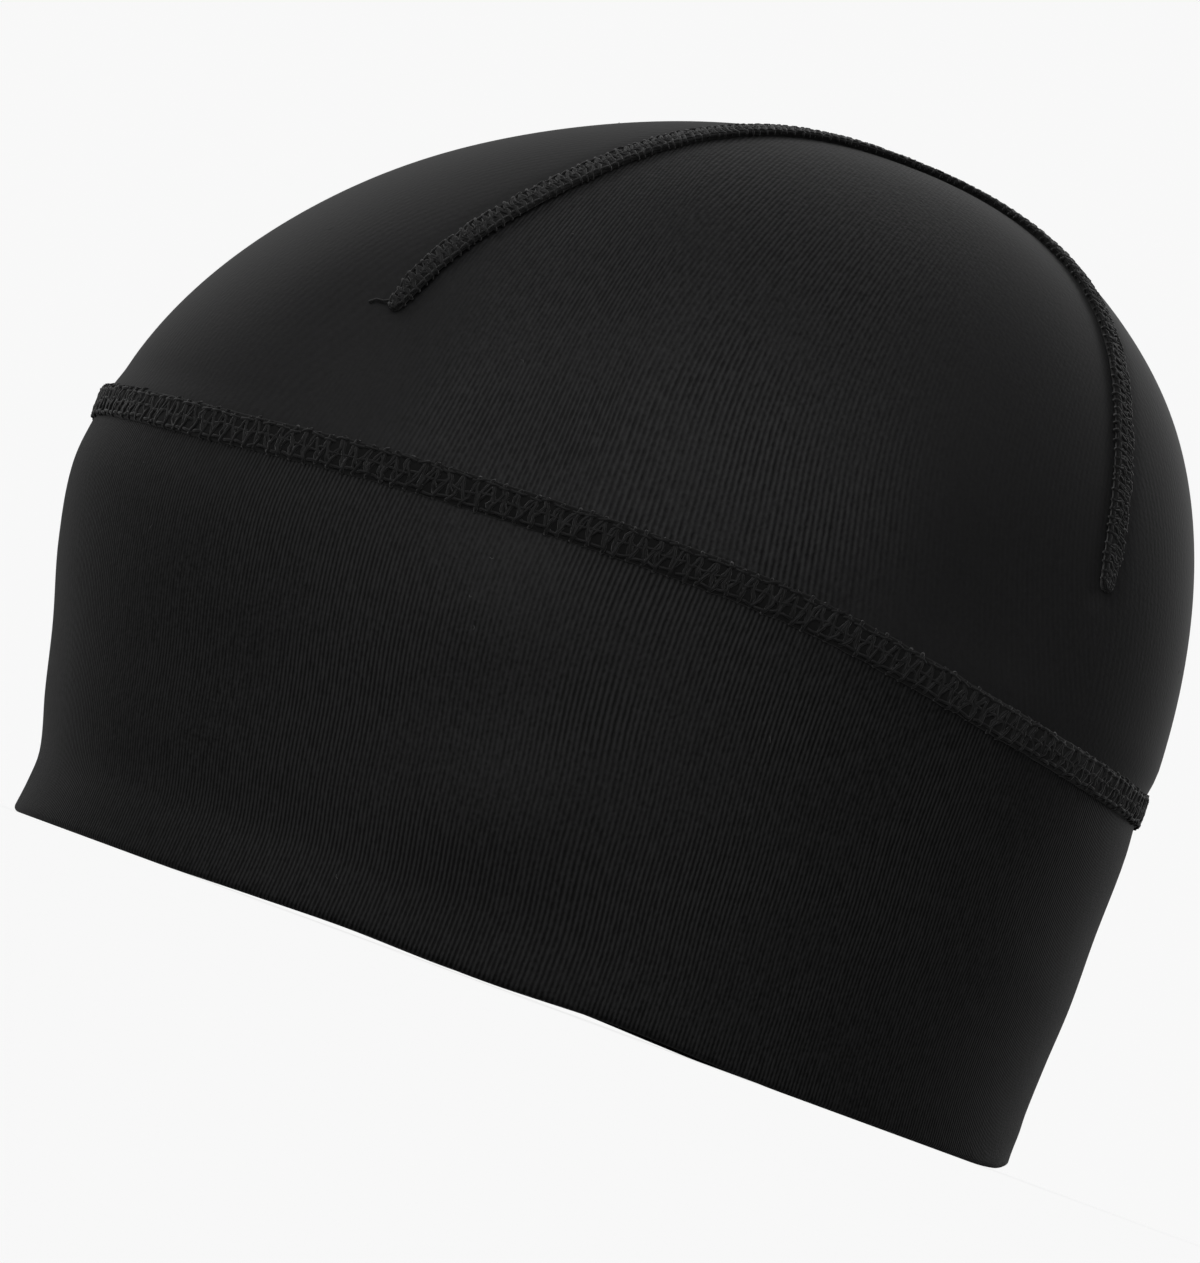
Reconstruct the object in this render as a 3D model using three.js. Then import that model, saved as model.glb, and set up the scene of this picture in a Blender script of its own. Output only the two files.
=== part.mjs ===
// A sports hat: a close-fitting cap of stretch jersey, with a tall band of doubled cloth, a domed crown
// and raised flat seams. Sizes are in millimetres, +Z is up. The hat stands on its hem at z = 0, its
// front points to -Y and the wearer's left is at +X.

import * as THREE from "three";

// Cloth
const BAND_THICKNESS = 2.2; // two layers, folded at the hem
const CROWN_THICKNESS = 1.2; // one layer
const HEM_ROUNDING = 0.6; // the fold's rounding, on either side of the flat it rests on
const HEM_SHARE = 0.02; // the share of the band's height that the rounding takes
const PIECE_GAP = 0.3; // left between pieces that are sewn together

// The band's outline from the hem up: its front and back on the centre line, and half its width.
// The share is how far up the band the section lies.
const BAND_SECTIONS = [
  { share: 0.0, front: -89.4, back: 98.5, half: 71.0 },
  { share: 0.08, front: -88.8, back: 98.0, half: 71.6 },
  { share: 0.16, front: -88.8, back: 97.7, half: 72.0 },
  { share: 0.3, front: -91.7, back: 98.0, half: 72.9 },
  { share: 0.46, front: -94.6, back: 98.7, half: 73.8 },
  { share: 0.65, front: -98.6, back: 98.9, half: 74.6 },
  { share: 0.84, front: -101.0, back: 99.5, half: 75.1 },
  { share: 1.0, front: -100.1, back: 99.4, half: 75.2 },
];

// The seam line between band and crown: its height above the hem, by the angle from the front.
const SEAM_LINE = [
  { angle: 0, height: 73.0 },
  { angle: 40, height: 72.2 },
  { angle: 70, height: 74.2 },
  { angle: 100, height: 75.0 },
  { angle: 130, height: 70.3 },
  { angle: 155, height: 68.3 },
  { angle: 180, height: 68.9 },
];

// The crown's meridians are superellipses from its edge up to the apex. The power says how full each is.
const CROWN = { front: -99.0, back: 100.3, half: 75.2, apexY: 17.9, apexZ: 164.7 };
const FULLNESS = { front: 1.72, side: 2.04, back: 2.36 };
const SEAM_PULL = 8; // over this height the crown eases from the seam line to its own outline
const PLAN_POWER = 2.15; // every level outline is a superellipse of this power

// Flat seams
const BAND_SEAM = { height: 5.9, thickness: 1.0, rounding: 0.3 };
const CROWN_SEAM = { width: 4.6, tipWidth: 2.6, tipLength: 7, thickness: 0.9 };

// The left crown seam seen from above, from its front tip to its back tip.
const CROWN_SEAM_PLAN = [
  { y: -57.2, x: 57.8 },
  { y: -37, x: 49.1 },
  { y: -16, x: 34.4 },
  { y: 4, x: 21.3 },
  { y: 24, x: 14.9 },
  { y: 44, x: 17.7 },
  { y: 60, x: 29.2 },
  { y: 73.5, x: 50.6 },
];

// Facets
const AROUND = 80;
const CROWN_RINGS = 14;
const SEAM_STEPS = 44;

const TURNED_RADIUS = 100; // of the round shapes that are then carried onto the hat's outline
const STEP = 1e-3; // used to measure slopes
const LOOK = 0.2; // how far ahead and behind a seam's direction is measured
const CLOSER = 60; // steps that bring a point of the plan onto the crown

const DEGREES = Math.PI / 180;

function smooth(t) {
  return THREE.MathUtils.smoothstep(t, 0, 1);
}

// A smooth curve through a table's rows: one column as a function of another.
function through(rows, key, column, levelEnds = false) {
  const at = rows.map((row) => row[key]);
  const value = rows.map((row) => row[column]);
  const last = rows.length - 1;
  const slope = value.map((_, i) => {
    const before = Math.max(i - 1, 0);
    const after = Math.min(i + 1, last);
    return (value[after] - value[before]) / (at[after] - at[before]);
  });
  if (levelEnds) {
    slope[0] = 0;
    slope[last] = 0;
  }
  return (x) => {
    let i = 0;
    while (i < last - 1 && x > at[i + 1]) {
      i += 1;
    }
    const span = at[i + 1] - at[i];
    const t = THREE.MathUtils.clamp((x - at[i]) / span, 0, 1);
    const rise = value[i + 1] - value[i];
    const start = slope[i] * span;
    const end = slope[i + 1] * span;
    return value[i] + t * (start + t * (3 * rise - 2 * start - end + t * (start + end - 2 * rise)));
  };
}

const bandFront = through(BAND_SECTIONS, "share", "front");
const bandBack = through(BAND_SECTIONS, "share", "back");
const bandHalf = through(BAND_SECTIONS, "share", "half");
const seamLine = through(SEAM_LINE, "angle", "height", true);

function seamHeight(angle) {
  const turned = Math.abs(Math.atan2(Math.sin(angle), Math.cos(angle)));
  return seamLine(turned / DEGREES);
}

// A level outline's point at an angle: 0 is the front, a quarter turn is the wearer's left.
function levelOutline(angle, front, back, half) {
  const power = 2 / PLAN_POWER;
  const across = Math.sin(angle);
  const along = Math.cos(angle);
  const reach = (back - front) / 2;
  return new THREE.Vector2(
    half * Math.sign(across) * Math.abs(across) ** power,
    (front + back) / 2 - reach * Math.sign(along) * Math.abs(along) ** power,
  );
}

// The band's outer surface. The share runs from the hem to the seam line.
function bandSurface(angle, share) {
  const { x, y } = levelOutline(angle, bandFront(share), bandBack(share), bandHalf(share));
  return new THREE.Vector3(x, y, share * seamHeight(angle));
}

// The crown's outer surface. The tip is 0 at the apex and a quarter turn at the seam line.
function crownSurface(angle, tip) {
  const along = Math.cos(angle);
  const end = along > 0 ? FULLNESS.front : FULLNESS.back;
  const power = 2 / THREE.MathUtils.lerp(FULLNESS.side, end, along * along);
  const edge = seamHeight(angle);
  const height = (CROWN.apexZ - edge) * Math.max(0, Math.cos(tip)) ** power;
  const eased = smooth(height / SEAM_PULL);
  const front = THREE.MathUtils.lerp(bandFront(1), CROWN.front, eased);
  const back = THREE.MathUtils.lerp(bandBack(1), CROWN.back, eased);
  const outline = levelOutline(angle, front, back, CROWN.half);
  const reach = Math.sin(tip) ** power;
  return new THREE.Vector3(
    outline.x * reach,
    CROWN.apexY + (outline.y - CROWN.apexY) * reach,
    edge + height,
  );
}

// The outward direction of a surface at a pair of its parameters.
function outward(surface, u, v) {
  const here = surface(u, v);
  const alongU = surface(u + STEP, v).sub(surface(u - STEP, v));
  const alongV = surface(u, v + STEP).sub(here);
  const normal = alongU.cross(alongV).normalize();
  const away = new THREE.Vector3(here.x, here.y - CROWN.apexY, here.z - seamHeight(0));
  return normal.dot(away) < 0 ? normal.negate() : normal;
}

// Moves every point of a geometry by a function of its place.
function carry(geometry, place) {
  const points = geometry.getAttribute("position");
  const point = new THREE.Vector3();
  for (let i = 0; i < points.count; i += 1) {
    point.fromBufferAttribute(points, i);
    const moved = place(point);
    points.setXYZ(i, moved.x, moved.y, moved.z);
  }
  geometry.computeVertexNormals();
  return geometry;
}

// A closed profile turned about the Z axis, starting at the front.
function turned(profile) {
  const points = profile.map(([radius, height]) => new THREE.Vector2(radius, height));
  return new THREE.LatheGeometry(points, AROUND).rotateX(Math.PI / 2);
}

function angleOf(point) {
  return Math.atan2(point.x, -point.y);
}

// The band: a round tube whose points are carried onto the band's outline. Its hem is rounded on both
// sides of the flat ring that it rests on.
function bandGeometry() {
  const outer = TURNED_RADIUS;
  const inner = TURNED_RADIUS - BAND_THICKNESS;
  const shares = BAND_SECTIONS.map((row) => row.share);
  const hem = [[outer - HEM_ROUNDING, 0], [outer, HEM_SHARE]];
  const wall = shares.slice(1).map((share) => [outer, share]);
  const back = shares.slice(1).reverse().map((share) => [inner, share]);
  const fold = [[inner, HEM_SHARE], [inner + HEM_ROUNDING, 0], [outer - HEM_ROUNDING, 0]];
  return carry(turned([...hem, ...wall, ...back, ...fold]), (point) => {
    const angle = angleOf(point);
    const share = point.z;
    const place = bandSurface(angle, share);
    const side = outward(bandSurface, angle, Math.min(share, 1 - STEP)).setZ(0).normalize();
    place.addScaledVector(side, Math.hypot(point.x, point.y) - TURNED_RADIUS);
    place.z -= share > 1 - STEP ? PIECE_GAP / 2 : 0;
    return place;
  });
}

// The crown: a round dome whose points are carried onto the crown's outline.
function crownGeometry() {
  const arc = (radius, rings) =>
    Array.from({ length: rings + 1 }, (_, i) => {
      const tip = (i / rings) * (Math.PI / 2);
      return [i === 0 ? 0 : radius * Math.sin(tip), i === rings ? 0 : radius * Math.cos(tip)];
    });
  const inner = arc(TURNED_RADIUS - CROWN_THICKNESS, CROWN_RINGS);
  const outer = arc(TURNED_RADIUS, CROWN_RINGS).reverse();
  return carry(turned([...inner, ...outer]), (point) => {
    const radius = Math.hypot(point.x, point.y);
    const offset = Math.hypot(radius, point.z) - TURNED_RADIUS;
    if (radius < STEP) {
      return new THREE.Vector3(0, CROWN.apexY, CROWN.apexZ + offset);
    }
    const angle = angleOf(point);
    const tip = Math.atan2(radius, point.z);
    const edge = point.z < STEP;
    const side = outward(crownSurface, angle, edge ? tip - 2 * STEP : tip);
    const place = crownSurface(angle, tip);
    if (edge) {
      side.setZ(0).normalize();
      place.z += PIECE_GAP / 2;
    }
    return place.addScaledVector(side, offset);
  });
}

// The band seam: a flat ring that covers the joint of band and crown.
function bandSeamGeometry() {
  const { height, thickness, rounding } = BAND_SEAM;
  const inner = TURNED_RADIUS + PIECE_GAP;
  const outer = inner + thickness;
  const top = height / 2;
  const profile = [
    [inner, -top],
    [outer - rounding, -top],
    [outer, rounding - top],
    [outer, 0],
    [outer, top - rounding],
    [outer - rounding, top],
    [inner, top],
    [inner, 0],
    [inner, -top],
  ];
  return carry(turned(profile), (point) => {
    const angle = angleOf(point);
    const edge = seamHeight(angle);
    const share = 1 + Math.min(0, point.z) / edge;
    const up = Math.max(0, point.z) / (CROWN.apexZ - edge);
    const surface = share < 1 ? bandSurface(angle, share) : crownSurface(angle, Math.acos(up));
    const side = outward(bandSurface, angle, 1 - STEP).setZ(0).normalize();
    surface.z = edge + point.z;
    return surface.addScaledVector(side, Math.hypot(point.x, point.y) - TURNED_RADIUS);
  });
}

// The crown's angle and tip above a point of the plan, found by stepping closer from a first guess.
function crownAt(x, y) {
  let angle = Math.atan2(x, CROWN.apexY - y);
  let tip = Math.PI / 4;
  for (let turn = 0; turn < CLOSER; turn += 1) {
    const point = crownSurface(angle, tip);
    const want = new THREE.Vector2(x, y - CROWN.apexY);
    const have = new THREE.Vector2(point.x, point.y - CROWN.apexY);
    tip = Math.min(Math.PI / 2, (tip * want.length()) / have.length());
    angle += Math.atan2(want.x, -want.y) - Math.atan2(have.x, -have.y);
  }
  return { angle, tip };
}

// A crown seam: a flat strip laid over the crown along its plan, narrower at both tips. The side is
// 1 for the wearer's left and -1 for the right.
function crownSeamGeometry(side) {
  const first = CROWN_SEAM_PLAN[0].y;
  const length = CROWN_SEAM_PLAN.at(-1).y - first;
  const planX = through(CROWN_SEAM_PLAN, "y", "x");
  const spine = (y) => {
    const { angle, tip } = crownAt(planX(y), y);
    return { place: crownSurface(angle, tip), up: outward(crownSurface, angle, tip) };
  };
  const strip = new THREE.BoxGeometry(1, CROWN_SEAM.thickness, 1, 2, 1, SEAM_STEPS);
  return carry(strip, (point) => {
    const along = point.z + 0.5;
    const y = first + length * (1 - Math.cos(Math.PI * along)) / 2;
    const { place, up } = spine(y);
    const ahead = spine(Math.min(y + LOOK, first + length)).place;
    const behind = spine(Math.max(y - LOOK, first)).place;
    const across = up.clone().cross(ahead.sub(behind)).normalize();
    const fromTip = Math.min(y - first, first + length - y) / CROWN_SEAM.tipLength;
    const width = THREE.MathUtils.lerp(CROWN_SEAM.tipWidth, CROWN_SEAM.width, smooth(fromTip));
    place.addScaledVector(across, point.x * width);
    place.addScaledVector(up, PIECE_GAP + CROWN_SEAM.thickness / 2 + point.y);
    place.x *= side;
    return place;
  });
}

// Turns a mirrored geometry's faces outward again.
function flipped(geometry) {
  const index = geometry.getIndex();
  for (let i = 0; i < index.count; i += 3) {
    const kept = index.getX(i);
    index.setX(i, index.getX(i + 1));
    index.setX(i + 1, kept);
  }
  geometry.computeVertexNormals();
  return geometry;
}

function piece(name, geometry, color, roughness) {
  const material = new THREE.MeshStandardMaterial({ color, roughness, metalness: 0 });
  const mesh = new THREE.Mesh(geometry, material);
  mesh.name = name;
  return mesh;
}

const hat = new THREE.Group();
hat.add(piece("band", bandGeometry(), 0x1a1a1b, 0.82));
hat.add(piece("crown", crownGeometry(), 0x1d1d1e, 0.8));
hat.add(piece("band_seam", bandSeamGeometry(), 0x121213, 0.9));
hat.add(piece("crown_seam_left", crownSeamGeometry(1), 0x121213, 0.9));
hat.add(piece("crown_seam_right", flipped(crownSeamGeometry(-1)), 0x121213, 0.9));

export default hat;
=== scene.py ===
"""A sports hat in black stretch jersey: a tall band of doubled cloth, a domed crown and raised flat seams.

Lengths in the tables below are in millimetres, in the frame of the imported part: the hat stands on its
hem at z = 0, its front points to -Y and the wearer's left is at +X. Meshes are made in metres.
"""

import math
import random

import bmesh
import bpy
from mathutils import Matrix, Vector, kdtree, noise


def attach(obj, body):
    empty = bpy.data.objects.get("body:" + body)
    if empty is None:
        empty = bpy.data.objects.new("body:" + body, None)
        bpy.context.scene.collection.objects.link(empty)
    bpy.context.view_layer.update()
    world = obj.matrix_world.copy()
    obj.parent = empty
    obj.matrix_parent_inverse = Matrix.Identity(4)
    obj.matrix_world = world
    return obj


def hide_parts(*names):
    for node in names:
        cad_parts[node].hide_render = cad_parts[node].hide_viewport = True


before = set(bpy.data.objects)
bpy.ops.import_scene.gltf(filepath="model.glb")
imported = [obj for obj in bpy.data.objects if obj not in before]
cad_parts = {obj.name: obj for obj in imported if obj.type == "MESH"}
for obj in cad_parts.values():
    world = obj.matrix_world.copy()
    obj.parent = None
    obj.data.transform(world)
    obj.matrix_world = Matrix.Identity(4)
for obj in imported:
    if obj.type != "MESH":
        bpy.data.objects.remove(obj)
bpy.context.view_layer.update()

MM = 0.001
BODY = "root"

# The camera looks at the hat's left side from just above the floor, turned about its own axis so
# that the hat leans back in the picture. Its places are in metres.
CAMERA_AZIMUTH = math.radians(86.91)
CAMERA_DISTANCE = 0.775
CAMERA_HEIGHT = 0.0005
CAMERA_ROLL = math.radians(20.19)
CAMERA_AIM = Vector((0, -0.00239, 0.06639))
CAMERA_LENS = 123.13
SENSOR = 36

# The studio: tones are of light, 1 is white. The floor glows to the camera, and lights the hat only
# a little. A soft box stands in the direction x, y, z. A high "narrow" makes it small, and the lower
# its "tall" share is, the taller it stands.
BACKDROP_TONE = 0.94
FLOOR_RADIUS = 60
FLOOR_TONE = 0.25
FLOOR_GLOW = 0.747
FLOOR_LIGHT = 0.044
SOFT_BOXES = [
    {"x": -0.8, "y": -1.0, "z": 0.35, "tall": 1, "narrow": 8, "light": 0.25},
    {"x": -0.8, "y": 1.0, "z": 0.35, "tall": 1, "narrow": 8, "light": 0.06},
    {"x": -1.8, "y": 1.0, "z": 0.35, "tall": 1, "narrow": 12, "light": 0.32},
    {"x": -0.6, "y": 0.5, "z": 1.0, "tall": 1, "narrow": 6, "light": 1.0},
    {"x": -0.5, "y": -0.8, "z": 0.8, "tall": 1, "narrow": 8, "light": 1.05},
    {"x": 0.5, "y": -1.0, "z": 0.0, "tall": 1, "narrow": 5, "light": 0.69},
    {"x": 1.0, "y": -0.2, "z": 0.5, "tall": 1, "narrow": 4, "light": 1.6},
    {"x": 0.97, "y": -0.3, "z": 0.0, "tall": 0.2, "narrow": 24, "light": 2.53},
]

# Cloth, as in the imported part
BAND_THICKNESS = 2.2
CROWN_THICKNESS = 1.2
HEM_RADIUS = BAND_THICKNESS / 2

# The band's outline: its front and back on the centre line, and half its width
BAND_SECTIONS = [
    {"share": 0.0, "front": -89.4, "back": 98.5, "half": 71.0},
    {"share": 0.08, "front": -88.8, "back": 98.0, "half": 71.6},
    {"share": 0.16, "front": -88.8, "back": 97.7, "half": 72.0},
    {"share": 0.3, "front": -91.7, "back": 98.0, "half": 72.9},
    {"share": 0.46, "front": -94.6, "back": 98.7, "half": 73.8},
    {"share": 0.65, "front": -98.6, "back": 98.9, "half": 74.6},
    {"share": 0.84, "front": -101.0, "back": 99.5, "half": 75.1},
    {"share": 1.0, "front": -100.1, "back": 99.4, "half": 75.2},
]

# The seam line's height above the hem, by the angle from the front
SEAM_LINE = [
    {"angle": 0, "height": 73.0},
    {"angle": 40, "height": 72.2},
    {"angle": 70, "height": 74.2},
    {"angle": 100, "height": 75.0},
    {"angle": 130, "height": 70.3},
    {"angle": 155, "height": 68.3},
    {"angle": 180, "height": 68.9},
]

CROWN = {"front": -99.0, "back": 100.3, "half": 75.2, "apex_y": 17.9, "apex_z": 164.7}
FULLNESS = {"front": 1.72, "side": 2.04, "back": 2.36}
SEAM_PULL = 8
PLAN_POWER = 2.15

# The left crown seam seen from above, from its front tip to its back tip
CROWN_SEAM_PLAN = [
    {"y": -57.2, "x": 57.8},
    {"y": -37, "x": 49.1},
    {"y": -16, "x": 34.4},
    {"y": 4, "x": 21.3},
    {"y": 24, "x": 14.9},
    {"y": 44, "x": 17.7},
    {"y": 60, "x": 29.2},
    {"y": 73.5, "x": 50.6},
]

# Flat seams: the raised strips of turned-in cloth and the threads that cover them
BAND_SEAM = {"width": 5.8, "height": 0.75, "stitch": 2.4, "joint_fade": 9}
CROWN_SEAM = {
    "width": 4.5, "tip_width": 2.9, "tip_length": 7, "rounding": 1.6, "tip_share": 0.25,
    "height": 0.55, "stitch": 1.6,
}
BAND_STRIP_STEPS = 1100
CROWN_STRIP_STEPS = 400
COVER_RADIUS = 0.32
LOOP_RADIUS = 0.25
NEEDLE_RADIUS = 0.25

# One stitch. The cover thread leans forward as it rises over the strip, is held down along the
# needle lines, and falls back under itself. v is the share of half the strip's width, s the share
# of the stitch's length and h the height over the strip.
LEAN = 1.9
LOOP_SHIFT = 0.2
NEEDLE_SHIFT = 0.4
NEEDLE_LINES = (-0.74, 0.0, 0.74)
COVER_RISE = [
    {"v": -0.97, "h": -0.45},
    {"v": -0.9, "h": -0.02},
    {"v": -0.7, "h": 0.0},
    {"v": -0.36, "h": 0.14},
    {"v": 0.0, "h": 0.0},
    {"v": 0.36, "h": 0.14},
    {"v": 0.72, "h": 0.0},
    {"v": 0.9, "h": -0.02},
    {"v": 0.97, "h": -0.45},
]
COVER_FALL = [
    {"v": 0.6, "h": 0.0},
    {"v": 0.3, "h": 0.06},
    {"v": -0.1, "h": -0.04},
    {"v": -0.4, "h": 0.06},
]
LOOP = [
    {"s": 0.0, "v": -0.5, "h": 0.06},
    {"s": 0.25, "v": 0.0, "h": 0.16},
    {"s": 0.5, "v": 0.52, "h": 0.08},
    {"s": 0.75, "v": 0.05, "h": 0.08},
]
DASH = [
    {"s": 0.0, "h": -0.1},
    {"s": 0.2, "h": 0.15},
    {"s": 0.6, "h": 0.17},
    {"s": 0.85, "h": -0.1},
]

# How unevenly the stitches lie: along the seam, across it and in height, over patches of this
# length, with each row apart from the next by the crossing. Then how much the strips vary in width
# and height. LOOSE is what chance adds to each stitch. Across and height read other stretches of
# the same noise, from their starts.
RAGGED = {
    "along": 0.8, "across": 0.13, "height": 0.7, "patch": 3.2, "crossing": 1.7,
    "width": 0.06, "lift": 0.12, "lift_patch": 2.2,
}
ACROSS_START = 40
HEIGHT_START = 90
LOOSE = {
    "along": 0.14, "across": 0.06, "slip": 0.5, "loop": 0.16,
    "needle_along": 0.3, "needle_across": 0.14, "needle_turn": 0.3,
}
EDGE_SEED = 7
BAND_STITCH_SEED = 3
CROWN_STITCH_SEED = 5

# How far the crown is drawn in under its seams, close to them and further around, and how far each
# of the two reaches
DRAWN = {"close": 0.3, "close_reach": 4.2, "wide": 0.25, "wide_reach": 12}

# The end of the seam thread beyond each crown seam's front tip, on the left half
THREAD_TAIL = [
    {"x": 57.0, "y": -57.7, "up": 0.4},
    {"x": 56.4, "y": -58.9, "up": 0.2},
    {"x": 55.6, "y": -60.1, "up": 0.15},
    {"x": 55.2, "y": -61.2, "up": 0.15},
]

# The strips' sections: v is the share across the strip, h the share of its height. The crown's
# strips lift a little off the side panels, on the side where v is negative.
BAND_STRIP_SECTION = [
    {"v": -0.5, "h": 0.0},
    {"v": -0.49, "h": 0.5},
    {"v": -0.43, "h": 0.85},
    {"v": -0.2, "h": 1.0},
    {"v": 0.2, "h": 1.0},
    {"v": 0.43, "h": 0.85},
    {"v": 0.49, "h": 0.5},
    {"v": 0.5, "h": 0.0},
]
CROWN_STRIP_SECTION = [
    {"v": -0.3, "h": -1.3},
    {"v": -0.38, "h": 0.0},
    {"v": -0.46, "h": 0.4},
    {"v": -0.5, "h": 0.75},
    {"v": -0.44, "h": 1.05},
    {"v": -0.25, "h": 1.1},
    {"v": 0.0, "h": 1.0},
    {"v": 0.3, "h": 0.9},
    {"v": 0.46, "h": 0.5},
    {"v": 0.5, "h": 0.0},
    {"v": 0.46, "h": -1.3},
]

# Soft hollows and swells of the side cloth: a place on the left half, how deep the hollow is (a
# swell is negative) and how far it spreads. The right half has the same.
HOLLOWS = [
    {"x": 62.4, "y": 58.2, "z": 87.5, "depth": 1.5, "spread": 17},
    {"x": 65.8, "y": 36.0, "z": 100.0, "depth": -0.7, "spread": 15},
    {"x": 58.5, "y": -57.0, "z": 93.5, "depth": 2.1, "spread": 13},
    {"x": 73.6, "y": -22.0, "z": 55.5, "depth": -1.2, "spread": 14},
    {"x": 72.9, "y": -12.0, "z": 28.0, "depth": -1.2, "spread": 14},
    {"x": 0.0, "y": 69.0, "z": 150.0, "depth": 1.0, "spread": 15},
    {"x": 0.0, "y": -57.0, "z": 125.0, "depth": -0.6, "spread": 26},
    {"x": 0.0, "y": 98.0, "z": 16.0, "depth": -0.9, "spread": 30},
    {"x": 0.0, "y": 99.0, "z": 54.0, "depth": -0.4, "spread": 26},
    {"x": 66.0, "y": 48.0, "z": 38.0, "depth": 0.6, "spread": 22},
]
SOFT_SIZE = 46
SOFT_DEPTH = 0.4

# The cloth is even at the band's two edges and at the crown's, over this share or height
EVEN_SHARE = 0.12
EVEN_HEIGHT = 10

# The hem stands on the table and lifts a little along the sides and at the middle of the back
HEM_LIFT = [
    {"y": -62, "lift": 0.0},
    {"y": -45, "lift": 0.4},
    {"y": -26, "lift": 0.75},
    {"y": -4, "lift": 0.3},
    {"y": 20, "lift": 0.95},
    {"y": 39, "lift": 0.3},
    {"y": 48, "lift": 0.0},
    {"y": 88, "lift": 0.0},
    {"y": 94, "lift": 0.4},
    {"y": 98.5, "lift": 1.5},
]
HEM_LIFT_HEIGHT = 16

# Knit: the number of wales round the band, the distance between wales on the crown and between
# courses, and how the side panels' wales lean back and close up towards the top and the front. The
# wales show clearly on the sides only: they fade between each pair of places along the hat, round
# the crown seams' tips and beyond them.
BAND_WALES = 790
CROWN_WALE = 1.0
COURSE = 0.9
LEANING = {
    "from": 95.6, "at_seam": 0.06, "back": 0.0125, "closer": 0.005,
    "front_from": -15, "front_closer": 0.4,
}
CLEAR = {
    "front": -34, "front_end": -56, "back": 18, "back_end": 44, "faint": 0.12,
    "past_tip": 8, "past_joint": 14,
}

# Lint: a few pale fibres on the cloth, with the band's shares and the crown's tips they may lie at
LINT = {
    "count": 26, "radius": 0.035, "short": 0.3, "long": 0.9, "bend": 0.2, "above": 0.05, "seed": 11,
    "band": (0.08, 0.9), "crown": (0.25, 1.45),
}

# The knit's look: noise that is squeezed along the wales streaks them, patches make them stronger or
# fainter, and fuzz lies over them, with less of it where the wales are faint
KNIT = {
    "squeeze": 0.35, "streak_scale": 0.9, "patch_scale": 38.0, "faint_patch": 0.4, "strong_patch": 0.62,
    "faint": 0.45, "fuzz_scale": 1400.0, "least_fuzz": 0.3, "relief": 0.0002,
}

# Meshes, and the rounds of the search for a place above the plan
AROUND = 320
BAND_RINGS = 56
CROWN_RINGS = 88
FOLD_STEPS = 10
TURNED_RADIUS = 100
STEP = 1e-3
SEARCH_ROUNDS = 40


def smooth(t):
    t = min(1, max(0, t))
    return t * t * (3 - 2 * t)


def mix(a, b, t):
    return a + (b - a) * t


def through(rows, key, column, level_ends=False):
    """A smooth curve through a table's rows: one column as a function of another."""
    at = [row[key] for row in rows]
    value = [row[column] for row in rows]
    last = len(rows) - 1
    slope = []
    for i in range(len(rows)):
        before, after = max(i - 1, 0), min(i + 1, last)
        slope.append((value[after] - value[before]) / (at[after] - at[before]))
    if level_ends:
        slope[0] = slope[last] = 0

    def curve(x):
        i = 0
        while i < last - 1 and x > at[i + 1]:
            i += 1
        span = at[i + 1] - at[i]
        t = min(1, max(0, (x - at[i]) / span))
        rise = value[i + 1] - value[i]
        start, end = slope[i] * span, slope[i + 1] * span
        bend = start + end - 2 * rise
        return value[i] + t * (start + t * (rise - start - bend + t * bend))

    return curve


band_front = through(BAND_SECTIONS, "share", "front")
band_back = through(BAND_SECTIONS, "share", "back")
band_half = through(BAND_SECTIONS, "share", "half")
seam_line = through(SEAM_LINE, "angle", "height", level_ends=True)
seam_plan = through(CROWN_SEAM_PLAN, "y", "x")
hem_lift = through(HEM_LIFT, "y", "lift", level_ends=True)


def seam_height(angle):
    return seam_line(math.degrees(abs(math.atan2(math.sin(angle), math.cos(angle)))))


def level_outline(angle, front, back, half):
    """A point of a level outline: angle 0 is the front, a quarter turn is the wearer's left."""
    power = 2 / PLAN_POWER
    across, along = math.sin(angle), math.cos(angle)
    x = half * math.copysign(abs(across) ** power, across)
    y = (front + back) / 2 - (back - front) / 2 * math.copysign(abs(along) ** power, along)
    return x, y


def band_surface(angle, share):
    """The band's outer surface. The share runs from the hem to the seam line."""
    x, y = level_outline(angle, band_front(share), band_back(share), band_half(share))
    return Vector((x, y, share * seam_height(angle)))


def crown_surface(angle, tip):
    """The crown's outer surface. The tip is 0 at the apex and a quarter turn at the seam line."""
    along = math.cos(angle)
    end = FULLNESS["front"] if along > 0 else FULLNESS["back"]
    power = 2 / mix(FULLNESS["side"], end, along * along)
    edge = seam_height(angle)
    height = (CROWN["apex_z"] - edge) * max(0, math.cos(tip)) ** power
    eased = smooth(height / SEAM_PULL)
    front = mix(band_front(1), CROWN["front"], eased)
    back = mix(band_back(1), CROWN["back"], eased)
    x, y = level_outline(angle, front, back, CROWN["half"])
    reach = abs(math.sin(tip)) ** power
    apex = CROWN["apex_y"]
    return Vector((x * reach, apex + (y - apex) * reach, edge + height))


def outward(surface, u, v):
    """The outward direction of a surface at a pair of its parameters."""
    here = surface(u, v)
    along_u = surface(u + STEP, v) - surface(u - STEP, v)
    along_v = surface(u, v + STEP) - here
    normal = along_u.cross(along_v).normalized()
    away = Vector((here.x, here.y - CROWN["apex_y"], here.z - seam_height(0)))
    return -normal if normal.dot(away) < 0 else normal


def level(direction):
    return Vector((direction.x, direction.y, 0)).normalized()


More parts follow.
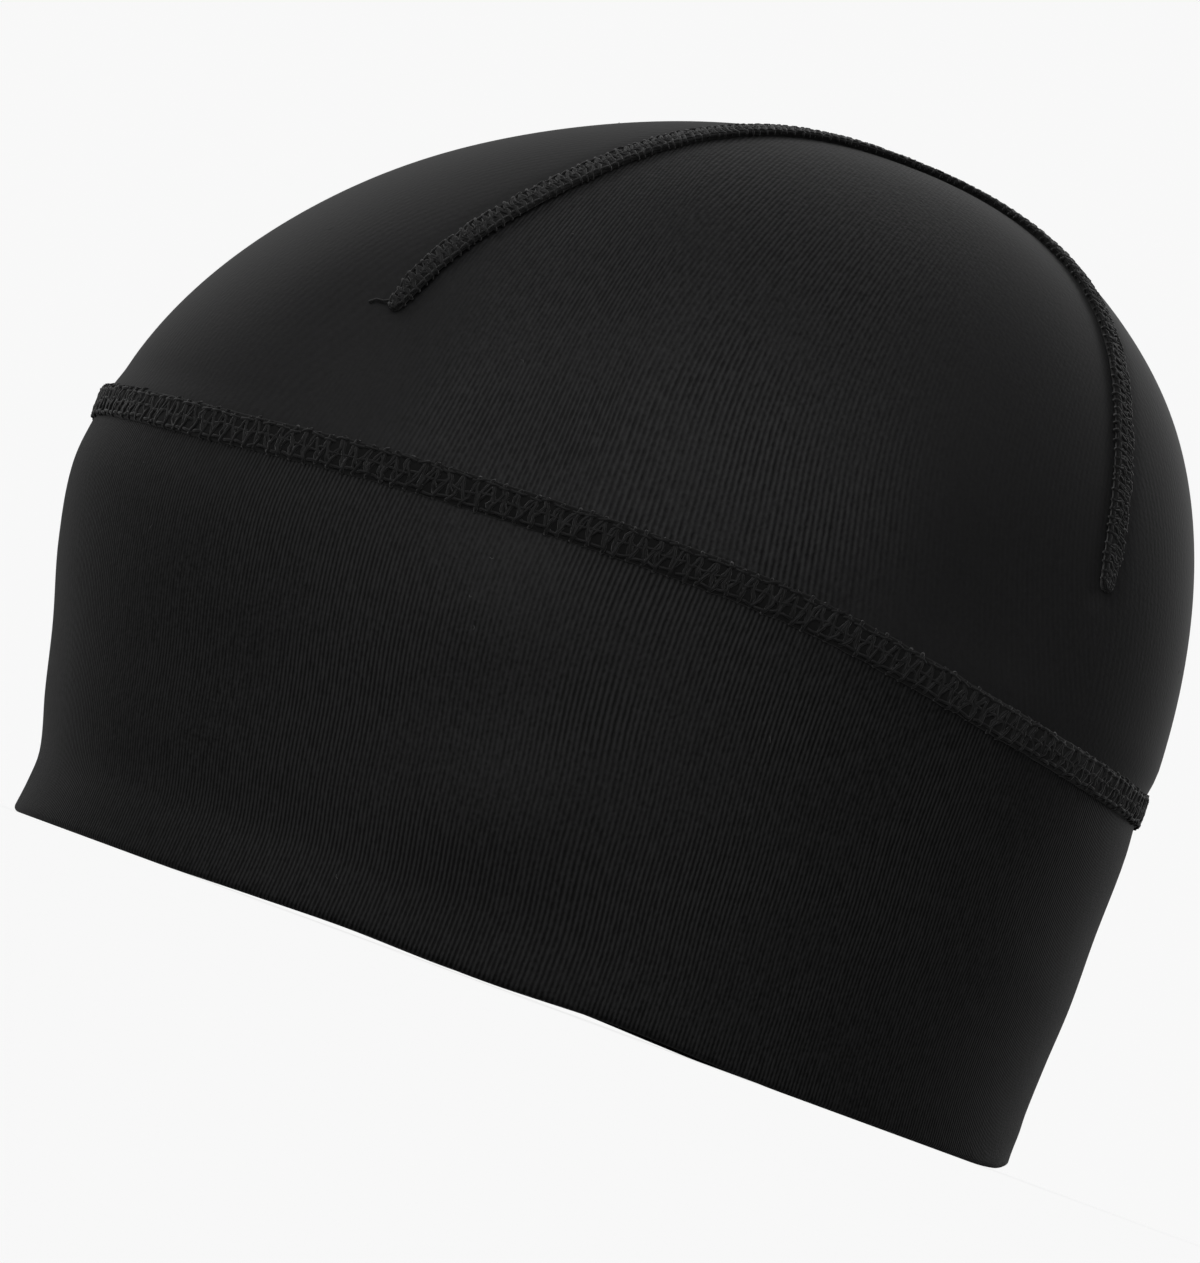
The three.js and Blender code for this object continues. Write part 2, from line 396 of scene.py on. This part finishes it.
def crown_at(x, y):
    """The crown's angle and tip above a point of the plan."""
    apex = CROWN["apex_y"]
    angle, tip = math.atan2(x, apex - y), math.pi / 4
    want = math.atan2(x, apex - y)
    for _ in range(SEARCH_ROUNDS):
        point = crown_surface(angle, tip)
        tip = min(math.pi / 2, tip * math.hypot(x, y - apex) / math.hypot(point.x, point.y - apex))
        angle += want - math.atan2(point.x, apex - point.y)
    return angle, tip


class Track:
    """A seam's middle line with its directions, read by the distance along it in millimetres."""

    def __init__(self, places, ups, closed):
        self.closed = closed
        count = len(places)
        self.places, self.ups, self.across = places, ups, []
        for i in range(count):
            ahead = places[(i + 1) % count] if closed else places[min(i + 1, count - 1)]
            behind = places[i - 1] if closed else places[max(i - 1, 0)]
            self.across.append(ups[i].cross(ahead - behind).normalized())
        self.at = [0.0]
        for i in range(1, count + (1 if closed else 0)):
            self.at.append(self.at[-1] + (places[i % count] - places[i - 1]).length)
        self.length = self.at[-1]
        self.hint = 0

    def frame(self, s):
        if self.closed:
            s %= self.length
        s = min(max(s, 0), self.length)
        i = self.hint if self.at[self.hint] <= s else 0
        while i < len(self.at) - 2 and self.at[i + 1] < s:
            i += 1
        self.hint = i
        t = (s - self.at[i]) / (self.at[i + 1] - self.at[i])
        j = (i + 1) % len(self.places)
        return tuple(kept[i].lerp(kept[j], t) for kept in (self.places, self.across, self.ups))

    def point(self, s, v, h):
        """The place s along the seam, v across it and h above the cloth."""
        place, across, up = self.frame(s)
        return place + across * v + up * h


def crown_seam_track(side, samples=400):
    first, last = CROWN_SEAM_PLAN[0]["y"], CROWN_SEAM_PLAN[-1]["y"]
    places, ups = [], []
    for i in range(samples + 1):
        y = first + (last - first) * (1 - math.cos(math.pi * i / samples)) / 2
        angle, tip = crown_at(seam_plan(y), y)
        place, up = crown_surface(angle, tip), outward(crown_surface, angle, tip)
        place.x, up.x = place.x * side, up.x * side
        places.append(place + up * unevenness(place))
        ups.append(up)
    return Track(places, ups, closed=False)


def band_seam_track(samples=720):
    places, ups = [], []
    for i in range(samples):
        angle = 2 * math.pi * i / samples
        places.append(band_surface(angle, 1))
        ups.append(level(outward(band_surface, angle, 1 - STEP)))
    return Track(places, ups, closed=True)


def turned(profile, steps):
    """A profile of radius and height, spun about the Z axis from the front."""
    shape = bmesh.new()
    corners = [shape.verts.new((0, -radius, height)) for radius, height in profile]
    edges = [shape.edges.new(pair) for pair in zip(corners, corners[1:])]
    bmesh.ops.spin(
        shape, geom=corners + edges, axis=(0, 0, 1), cent=(0, 0, 0), dvec=(0, 0, 0),
        angle=2 * math.pi, steps=steps, use_merge=True, use_duplicate=False,
    )
    bmesh.ops.remove_doubles(shape, verts=shape.verts, dist=1e-5)
    bmesh.ops.recalc_face_normals(shape, faces=shape.faces)
    return shape


def carry(shape, place):
    for vertex in shape.verts:
        vertex.co = place(vertex.co) * MM


def finished(shape, name, material, record_slot, *nodes):
    """Makes a piece of a shape: it rides on the hat and stands for the nodes."""
    mesh = bpy.data.meshes.new(name)
    for face in shape.faces:
        face.smooth = True
    shape.to_mesh(mesh)
    shape.free()
    piece = bpy.data.objects.new(name, mesh)
    return placed(piece, material, record_slot, *nodes)


def placed(piece, material, record_slot, *nodes):
    bpy.context.scene.collection.objects.link(piece)
    piece.data.materials.append(material)
    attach(piece, BODY)
    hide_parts(*nodes)
    return piece


def angle_of(point):
    return math.atan2(point.x, -point.y)


def unevenness(place):
    """How far the cloth stands off its even shape at a place."""
    off = SOFT_DEPTH * noise.noise(place / SOFT_SIZE)
    for hollow in HOLLOWS:
        centre = Vector((math.copysign(hollow["x"], place.x), hollow["y"], hollow["z"]))
        off -= hollow["depth"] * math.exp(-((place - centre).length / hollow["spread"]) ** 2)
    return off


def band_cloth(material):
    """The band: both walls and the rolled hem, from a turned tube."""
    outer, inner = TURNED_RADIUS, TURNED_RADIUS - BAND_THICKNESS
    hem = HEM_RADIUS / seam_height(0)
    shares = [mix(hem, 1, i / BAND_RINGS) for i in range(BAND_RINGS + 1)]
    wall = [(outer, share) for share in shares]
    back = [(inner, share) for share in reversed(shares)]
    fold = []
    for i in range(1, FOLD_STEPS):
        turn = math.pi * i / FOLD_STEPS
        fold.append((inner + HEM_RADIUS * (1 - math.cos(turn)), hem * (1 - math.sin(turn))))
    shape = turned(wall + back + fold + [wall[0]], AROUND)
    turns = shape.verts.layers.float.new("turn")
    clarity = shape.verts.layers.float.new("clarity")
    for vertex in shape.verts:
        vertex[turns] = angle_of(vertex.co)
        vertex[clarity] = 1

    def place(point):
        angle, share = angle_of(point), min(1, max(0, point.z))
        here = band_surface(angle, share)
        side = level(outward(band_surface, angle, min(share, 1 - 2 * STEP)))
        eased = smooth(share / EVEN_SHARE) * smooth((1 - share) / EVEN_SHARE)
        offset = math.hypot(point.x, point.y) - TURNED_RADIUS + unevenness(here) * eased
        here.z += max(0, hem_lift(here.y)) * (1 - smooth(here.z / HEM_LIFT_HEIGHT))
        return here + side * offset

    carry(shape, place)
    knit = shape.loops.layers.uv.new("knit")
    for face in shape.faces:
        first = face.verts[0][turns]
        for loop in face.loops:
            turn = loop.vert[turns]
            if turn - first > math.pi:
                turn -= 2 * math.pi
            elif first - turn > math.pi:
                turn += 2 * math.pi
            loop[knit].uv = (BAND_WALES * turn / (2 * math.pi), loop.vert.co.z / MM / COURSE)
    return finished(shape, "band_cloth", material, "band_cloth", "band")


def leaning(y, z):
    """A side panel's wales: the same number all along one of them."""
    above = z - LEANING["from"]
    back = LEANING["back"] * max(0, above) ** 2 / 2 - LEANING["at_seam"] * above
    ahead = LEANING["front_closer"] * min(0, y - LEANING["front_from"])
    return (y + ahead) * (1 + LEANING["closer"] * above) - back


def crown_cloth(material, tracks):
    """The crown: both walls from a turned dome, drawn in along its seams."""
    spots = [spot for track in tracks for spot in track.places]
    near = kdtree.KDTree(len(spots))
    for i, spot in enumerate(spots):
        near.insert(spot, i)
    near.balance()

    def arc(radius):
        tips = [math.pi / 2 * i / CROWN_RINGS for i in range(CROWN_RINGS + 1)]
        points = [(radius * math.sin(tip), radius * math.cos(tip)) for tip in tips]
        return [(0, radius)] + points[1:-1] + [(radius, 0)]

    shape = turned(arc(TURNED_RADIUS - CROWN_THICKNESS) + arc(TURNED_RADIUS)[::-1], AROUND)
    tips = shape.verts.layers.float.new("tip")
    clarity = shape.verts.layers.float.new("clarity")
    for vertex in shape.verts:
        vertex[tips] = math.atan2(math.hypot(vertex.co.x, vertex.co.y), vertex.co.z)

    def place(point):
        radius = math.hypot(point.x, point.y)
        offset = math.hypot(radius, point.z) - TURNED_RADIUS
        angle, tip = angle_of(point), math.atan2(radius, point.z)
        if radius < STEP:
            here, side = crown_surface(0, 0), Vector((0, 0, 1))
        else:
            here = crown_surface(angle, tip)
            side = outward(crown_surface, angle, min(tip, math.pi / 2 - 2 * STEP))
        if point.z < STEP:
            side = level(side)
        eased = smooth((here.z - seam_height(angle)) / EVEN_HEIGHT)
        away = near.find(here)[2]
        drawn = DRAWN["close"] * math.exp(-((away / DRAWN["close_reach"]) ** 4))
        drawn += DRAWN["wide"] * math.exp(-((away / DRAWN["wide_reach"]) ** 2))
        return here + side * (offset + (unevenness(here) - drawn) * eased)

    carry(shape, place)
    knit = shape.loops.layers.uv.new("knit")
    for face in shape.faces:
        middle = face.calc_center_median() / MM
        on_side = abs(middle.x) > seam_plan(middle.y)
        for loop in face.loops:
            x, y, z = loop.vert.co / MM
            wale = leaning(y, z) if on_side else x
            loop[knit].uv = (wale / CROWN_WALE, TURNED_RADIUS * loop.vert[tips] / COURSE)
    for vertex in shape.verts:
        x, y, z = vertex.co / MM
        beyond = max(CROWN_SEAM_PLAN[0]["y"] - y, y - CROWN_SEAM_PLAN[-1]["y"])
        from_joint = abs(abs(x) - seam_plan(y))
        ahead = (CLEAR["front"] - y) / (CLEAR["front"] - CLEAR["front_end"])
        behind = (y - CLEAR["back"]) / (CLEAR["back_end"] - CLEAR["back"])
        clear = 1 - smooth(max(ahead, behind))
        past_tip = smooth(beyond / CLEAR["past_tip"])
        clear *= 1 - past_tip * (1 - smooth(from_joint / CLEAR["past_joint"]))
        if abs(x) < seam_plan(y):
            clear = 0
        vertex[clarity] = mix(CLEAR["faint"], 1, clear)
    return finished(shape, "crown_cloth", material, "crown_cloth", "crown")


def ragged_edge(s):
    return 1 + RAGGED["width"] * noise.noise(Vector((s / RAGGED["patch"], 0, EDGE_SEED)))


def crown_strip_width(track):
    """The width along a crown seam, which narrows and rounds off at both of its tips."""

    def width(s):
        from_tip = max(0, min(s, track.length - s))
        grown = smooth(from_tip / CROWN_SEAM["tip_length"])
        end = 1 - min(1, from_tip / CROWN_SEAM["rounding"])
        rounded = mix(CROWN_SEAM["tip_share"], 1, math.sqrt(1 - end * end))
        return mix(CROWN_SEAM["tip_width"], CROWN_SEAM["width"], grown) * rounded * ragged_edge(s)

    return width


def band_strip_width(track):
    """The width along the band seam, even where its two ends meet at the front."""

    def width(s):
        from_joint = math.sin(math.pi * s / track.length)
        return BAND_SEAM["width"] * mix(1, ragged_edge(s), smooth(from_joint * BAND_SEAM["joint_fade"]))

    return width


def strip(name, track, width_at, seam, section, steps, material, node):
    """A raised strip of turned-in cloth along a track."""
    shape = bmesh.new()
    rings = []
    count = steps if track.closed else steps + 1
    for i in range(count):
        s = track.length * i / steps
        width = width_at(s)
        bulge = noise.noise(Vector((s / RAGGED["lift_patch"], width, 0)))
        lift = seam["height"] * (1 + RAGGED["lift"] * bulge)
        ring = [shape.verts.new(track.point(s, row["v"] * width, row["h"] * lift) * MM) for row in section]
        rings.append([shape.edges.new(pair) for pair in zip(ring, ring[1:] + ring[:1])])
    pairs = list(zip(rings, rings[1:]))
    if track.closed:
        pairs.append((rings[-1], rings[0]))
    for a, b in pairs:
        bmesh.ops.bridge_loops(shape, edges=a + b)
    if not track.closed:
        for end in (rings[0], rings[-1]):
            bmesh.ops.contextual_create(shape, geom=end)
    bmesh.ops.recalc_face_normals(shape, faces=shape.faces)
    return finished(shape, name, material, "seam_thread", node)


def threads(name, lines, radius, material, slot, *nodes):
    """Threads: each line is a list of places in millimetres."""
    data = bpy.data.curves.new(name, "CURVE")
    data.dimensions = "3D"
    data.bevel_depth = radius * MM
    data.bevel_resolution = 1
    data.use_fill_caps = True
    for points in lines:
        spline = data.splines.new("POLY")
        spline.points.add(len(points) - 1)
        for spot, point in zip(spline.points, points):
            spot.co = (*(point * MM), 1)
        spline.use_smooth = True
    return placed(bpy.data.objects.new(name, data), material, slot, *nodes)


def seam_stitches(track, width_at, seam, seed):
    """The cover thread that zigzags over a strip, and the needle threads' short stitches on it."""
    dice = random.Random(seed)
    base = seam["height"]
    count = round(track.length / seam["stitch"])
    pitch = track.length / count
    ends = 0 if track.closed else 1

    def off(size):
        return size * (dice.random() - 0.5)

    def wander(s, across, start=0):
        place = (s + start) / RAGGED["patch"]
        return noise.noise(Vector((place, across * RAGGED["crossing"], seed)))

    def stitch(s, v, h):
        at = s + off(LOOSE["along"]) + RAGGED["along"] * wander(s, v)
        across = v + off(LOOSE["across"]) + RAGGED["across"] * wander(s, v, ACROSS_START)
        lift = h * (1 + RAGGED["height"] * wander(s, v, HEIGHT_START))
        return track.point(at, across * width_at(s) / 2, base + lift)

    cover, loops, needles = [], [], []
    for i in range(-ends, count + ends):
        s = pitch * i
        slip = off(LOOSE["slip"]) * pitch
        for row in COVER_RISE:
            ahead = LEAN * (row["v"] + 1) / 2 + slip * (1 - abs(row["v"]))
            cover.append(stitch(s + ahead, row["v"], row["h"]))
        for row in COVER_FALL:
            cover.append(stitch(s + pitch + (LEAN - pitch) * (row["v"] + 1) / 2, row["v"], row["h"]))
        for row in LOOP:
            at = s + pitch * (row["s"] + LOOP_SHIFT)
            loops.append(stitch(at, row["v"] + off(LOOSE["loop"]), row["h"]))
        for line in NEEDLE_LINES:
            at = s + off(LOOSE["needle_along"]) + pitch * NEEDLE_SHIFT * abs(line)
            across = line + off(LOOSE["needle_across"])
            turn = off(LOOSE["needle_turn"])
            needles.append([
                stitch(at + pitch * row["s"], across + turn * row["s"], row["h"]) for row in DASH
            ])
    return [cover], [loops], needles


def thread_tail(side):
    """The loose end of the seam thread on the cloth beyond a crown seam's front tip."""
    points = []
    for row in THREAD_TAIL:
        angle, tip = crown_at(row["x"], row["y"])
        place, up = crown_surface(angle, tip), outward(crown_surface, angle, tip)
        place.x, up.x = place.x * side, up.x * side
        points.append(place + up * (row["up"] + unevenness(place)))
    return points


def stitched_seam(name, track, width_at, seam, seed, material, node, tail=()):
    cover, loops, needles = seam_stitches(track, width_at, seam, seed)
    needles += tail
    threads(f"{name}_cover_thread", cover, COVER_RADIUS, material, "seam_thread", node)
    threads(f"{name}_loop_thread", loops, LOOP_RADIUS, material, "seam_thread", node)
    threads(f"{name}_needle_thread", needles, NEEDLE_RADIUS, material, "seam_thread", node)


def lint(material):
    """A few pale fibres lying on the cloth."""
    dice = random.Random(LINT["seed"])
    fibres = []
    for _ in range(LINT["count"]):
        angle = 2 * math.pi * dice.random()
        if dice.random() < 0.5:
            surface, v = band_surface, dice.uniform(*LINT["band"])
        else:
            surface, v = crown_surface, dice.uniform(*LINT["crown"])
        here, up = surface(angle, v), outward(surface, angle, v)
        along = up.orthogonal()
        along.rotate(Matrix.Rotation(dice.uniform(0, math.pi), 3, up))
        long = dice.uniform(LINT["short"], LINT["long"])
        bend = dice.uniform(-LINT["bend"], LINT["bend"])
        side = up.cross(along)
        here += up * (unevenness(here) + LINT["above"])
        fibres.append([here, here + along * long / 2 + side * bend, here + along * long])
    threads("lint_fibres", fibres, LINT["radius"], material, "seam_thread", "band", "crown")


def wire(tree, kind, inputs, **settings):
    """Adds a shader node with its settings, and links or sets its inputs."""
    node = tree.nodes.new(f"ShaderNode{kind}")
    for name, value in settings.items():
        setattr(node, name, value)
    for name, value in inputs.items():
        if isinstance(value, bpy.types.NodeSocket):
            tree.links.new(value, node.inputs[name])
        else:
            node.inputs[name].default_value = value
    return node


def calc(tree, operation, a, b=0.0, c=0.0):
    return wire(tree, "Math", {0: a, 1: b, 2: c}, operation=operation).outputs[0]


def jersey_group():
    """The knit's look: rows of wales broken up by streaks, stronger in some places than in others."""
    tree = bpy.data.node_groups.new("jersey_knit", "ShaderNodeTree")
    for name, start in (("Wales", 0.5), ("Streaks", 0.5), ("Fuzz", 0.3)):
        socket = tree.interface.new_socket(name, in_out="INPUT", socket_type="NodeSocketFloat")
        socket.default_value = start
    for name in ("Tone", "Height"):
        tree.interface.new_socket(name, in_out="OUTPUT", socket_type="NodeSocketFloat")
    given = tree.nodes.new("NodeGroupInput")
    result = tree.nodes.new("NodeGroupOutput")
    knit = wire(tree, "UVMap", {}, uv_map="knit")
    place = wire(tree, "TexCoord", {}).outputs["Object"]
    clarity = wire(tree, "Attribute", {}, attribute_name="clarity").outputs["Fac"]
    parts = wire(tree, "SeparateXYZ", {"Vector": knit.outputs["UV"]})
    wave = calc(tree, "COSINE", calc(tree, "MULTIPLY", parts.outputs["X"], 2 * math.pi))
    squeezed = wire(tree, "CombineXYZ", {
        "X": parts.outputs["X"], "Y": calc(tree, "MULTIPLY", parts.outputs["Y"], KNIT["squeeze"]),
    }).outputs["Vector"]

    def grain(at, scale, detail):
        return wire(tree, "TexNoise", {"Vector": at, "Scale": scale, "Detail": detail}).outputs["Fac"]

    streaks = grain(squeezed, KNIT["streak_scale"], 2.0)
    patches = grain(place, KNIT["patch_scale"], 1.0)
    strength = wire(tree, "MapRange", {
        "Value": patches, "From Min": KNIT["faint_patch"], "From Max": KNIT["strong_patch"],
        "To Min": KNIT["faint"], "To Max": 1.0,
    }).outputs["Result"]
    strength = calc(tree, "MULTIPLY", strength, clarity)
    fuzz = grain(place, KNIT["fuzz_scale"], 1.0)
    rows = calc(tree, "MULTIPLY", wave, given.outputs["Wales"])
    streaked = calc(tree, "MULTIPLY", calc(tree, "SUBTRACT", streaks, 0.5), given.outputs["Streaks"])
    pattern = calc(tree, "MULTIPLY", calc(tree, "ADD", rows, streaked), strength)
    fuzzy = calc(tree, "MULTIPLY", calc(tree, "SUBTRACT", fuzz, 0.5), given.outputs["Fuzz"])
    amount = calc(tree, "MULTIPLY_ADD", clarity, 1 - KNIT["least_fuzz"], KNIT["least_fuzz"])
    total = calc(tree, "MULTIPLY_ADD", fuzzy, amount, pattern)
    tree.links.new(calc(tree, "ADD", total, 0.5), result.inputs["Tone"])
    tree.links.new(total, result.inputs["Height"])
    return tree


def material_with_shader(name):
    material = bpy.data.materials.new(name)
    material.use_nodes = True
    tree = material.node_tree
    tree.nodes.clear()
    shader = tree.nodes.new("ShaderNodeBsdfPrincipled")
    output = tree.nodes.new("ShaderNodeOutputMaterial")
    tree.links.new(shader.outputs["BSDF"], output.inputs["Surface"])
    return material, tree, shader


def jersey(name, group, dark, light, look):
    """Black stretch jersey: a smooth face with fine wales and a soft bloom at glancing angles."""
    material, tree, shader = material_with_shader(name)
    knit = tree.nodes.new("ShaderNodeGroup")
    knit.node_tree = group
    for key in ("Wales", "Streaks", "Fuzz"):
        knit.inputs[key].default_value = look[key]
    tones = {"Factor": knit.outputs["Tone"], "A": (*dark, 1), "B": (*light, 1)}
    tone = wire(tree, "Mix", tones, data_type="RGBA")
    tree.links.new(tone.outputs["Result"], shader.inputs["Base Color"])
    relief = {"Height": knit.outputs["Height"], "Strength": look["bump"], "Distance": KNIT["relief"]}
    bump = wire(tree, "Bump", relief)
    tree.links.new(bump.outputs["Normal"], shader.inputs["Normal"])
    shader.inputs["Roughness"].default_value = 0.5
    shader.inputs["Specular IOR Level"].default_value = look["gloss"]
    shader.inputs["Sheen Weight"].default_value = look["sheen"]
    shader.inputs["Sheen Roughness"].default_value = 0.4
    return material


def thread_material(name, dark, light):
    """Black sewing thread, a little glossier than the cloth."""
    material, tree, shader = material_with_shader(name)
    place = wire(tree, "TexCoord", {}).outputs["Object"]
    grain = wire(tree, "TexNoise", {"Vector": place, "Scale": 520.0, "Detail": 2.0}).outputs["Fac"]
    worn = wire(tree, "MapRange", {"Value": grain, "From Min": 0.35, "From Max": 0.65}).outputs["Result"]
    tone = wire(tree, "Mix", {"Factor": worn, "A": (*dark, 1), "B": (*light, 1)}, data_type="RGBA")
    tree.links.new(tone.outputs["Result"], shader.inputs["Base Color"])
    shader.inputs["Roughness"].default_value = 0.5
    shader.inputs["Specular IOR Level"].default_value = 0.12
    shader.inputs["Sheen Weight"].default_value = 0.14
    shader.inputs["Sheen Roughness"].default_value = 0.5
    return material


def plain_material(name, tone, roughness=1.0, gloss=0.0, sheen=0.0):
    material, _, shader = material_with_shader(name)
    shader.inputs["Base Color"].default_value = (tone, tone, tone, 1)
    shader.inputs["Roughness"].default_value = roughness
    shader.inputs["Specular IOR Level"].default_value = gloss
    shader.inputs["Sheen Weight"].default_value = sheen
    return material


def make_camera():
    data = bpy.data.cameras.new("camera")
    data.lens = CAMERA_LENS
    data.sensor_width = SENSOR
    data.clip_start = 0.001
    camera = bpy.data.objects.new("camera", data)
    bpy.context.scene.collection.objects.link(camera)
    eye = Vector((math.sin(CAMERA_AZIMUTH), -math.cos(CAMERA_AZIMUTH), 0)) * CAMERA_DISTANCE
    eye.z = CAMERA_HEIGHT
    turn = (CAMERA_AIM - eye).to_track_quat("-Z", "Y").to_matrix().to_4x4()
    camera.matrix_world = Matrix.Translation(eye) @ turn @ Matrix.Rotation(CAMERA_ROLL, 4, "Z")
    bpy.context.scene.camera = camera


def make_floor():
    """A plain pale table: the camera sees it glow as pale as the backdrop, so its shadows stay faint."""
    shape = bmesh.new()
    bmesh.ops.create_circle(shape, cap_ends=True, segments=64, radius=FLOOR_RADIUS)
    mesh = bpy.data.meshes.new("floor")
    shape.to_mesh(mesh)
    shape.free()
    floor = bpy.data.objects.new("floor", mesh)
    bpy.context.scene.collection.objects.link(floor)
    material = plain_material("lit_table", FLOOR_TONE)
    tree = material.node_tree
    shader = tree.nodes["Principled BSDF"]
    shader.inputs["Emission Strength"].default_value = 1
    seen = wire(tree, "LightPath", {}).outputs["Is Camera Ray"]
    glow = calc(tree, "MULTIPLY_ADD", seen, FLOOR_GLOW - FLOOR_LIGHT, FLOOR_LIGHT)
    tree.links.new(glow, shader.inputs["Emission Color"])
    mesh.materials.append(material)


def make_sky():
    """The light: wide soft boxes in a dark sky, which the camera sees as one plain pale tone."""
    world = bpy.data.worlds.new("studio")
    world.use_nodes = True
    bpy.context.scene.world = world
    tree = world.node_tree
    towards = wire(tree, "TexCoord", {}).outputs["Generated"]
    total = 0.0
    for box in SOFT_BOXES:
        tall = (1, 1, box["tall"])
        aim = Vector((box["x"], box["y"], box["z"] * box["tall"])).normalized()
        squeezed = wire(tree, "VectorMath", {0: towards, 1: tall}, operation="MULTIPLY").outputs["Vector"]
        unit = wire(tree, "VectorMath", {0: squeezed}, operation="NORMALIZE").outputs["Vector"]
        facing = wire(tree, "VectorMath", {0: unit, 1: aim}, operation="DOT_PRODUCT").outputs["Value"]
        shape = calc(tree, "POWER", calc(tree, "MAXIMUM", facing, 0.0), box["narrow"])
        total = calc(tree, "ADD", calc(tree, "MULTIPLY", shape, box["light"]), total)
    seen = wire(tree, "LightPath", {}).outputs["Is Camera Ray"]
    tone = wire(tree, "Mix", {"Factor": seen, "A": total, "B": BACKDROP_TONE}, data_type="FLOAT")
    tree.links.new(tone.outputs["Result"], tree.nodes["Background"].inputs["Color"])


make_camera()
bpy.context.scene.view_settings.view_transform = "Standard"
make_floor()
make_sky()

left_track = crown_seam_track(1)
right_track = crown_seam_track(-1)
band_track = band_seam_track()

knit_group = jersey_group()
crown_look = {"Wales": 0.5, "Streaks": 1.3, "Fuzz": 1.1, "bump": 0.5, "gloss": 0.08, "sheen": 0.06}
band_look = {"Wales": 0.75, "Streaks": 1.6, "Fuzz": 1.2, "bump": 0.34, "gloss": 0.1, "sheen": 0.043}
crown_tones = {"dark": (0.003, 0.003, 0.0031), "light": (0.017, 0.017, 0.0174)}
band_tones = {"dark": (0.0005, 0.0005, 0.0005), "light": (0.0115, 0.0115, 0.0118)}
crown_jersey = jersey("crown_jersey", knit_group, look=crown_look, **crown_tones)
band_jersey = jersey("band_jersey", knit_group, look=band_look, **band_tones)
seam_cloth = plain_material("seam_cloth", 0.0055, 0.9, 0.04, 0.12)
seam_thread = thread_material("seam_thread", (0.0005, 0.0005, 0.0005), (0.0042, 0.0042, 0.0044))
lint_material = plain_material("lint", 0.09)

band_cloth(band_jersey)
crown_cloth(crown_jersey, (left_track, right_track))

width_at = band_strip_width(band_track)
strip(
    "band_seam_strip", band_track, width_at, BAND_SEAM, BAND_STRIP_SECTION, BAND_STRIP_STEPS,
    seam_cloth, "band_seam",
)
stitched_seam("band_seam", band_track, width_at, BAND_SEAM, BAND_STITCH_SEED, seam_thread, "band_seam")
for track, side in ((left_track, "left"), (right_track, "right")):
    node = f"crown_seam_{side}"
    width_at = crown_strip_width(track)
    strip(
        f"{node}_strip", track, width_at, CROWN_SEAM, CROWN_STRIP_SECTION, CROWN_STRIP_STEPS,
        seam_cloth, node,
    )
    tail = [thread_tail(1 if side == "left" else -1)]
    stitched_seam(node, track, width_at, CROWN_SEAM, CROWN_STITCH_SEED, seam_thread, node, tail)
lint(lint_material)
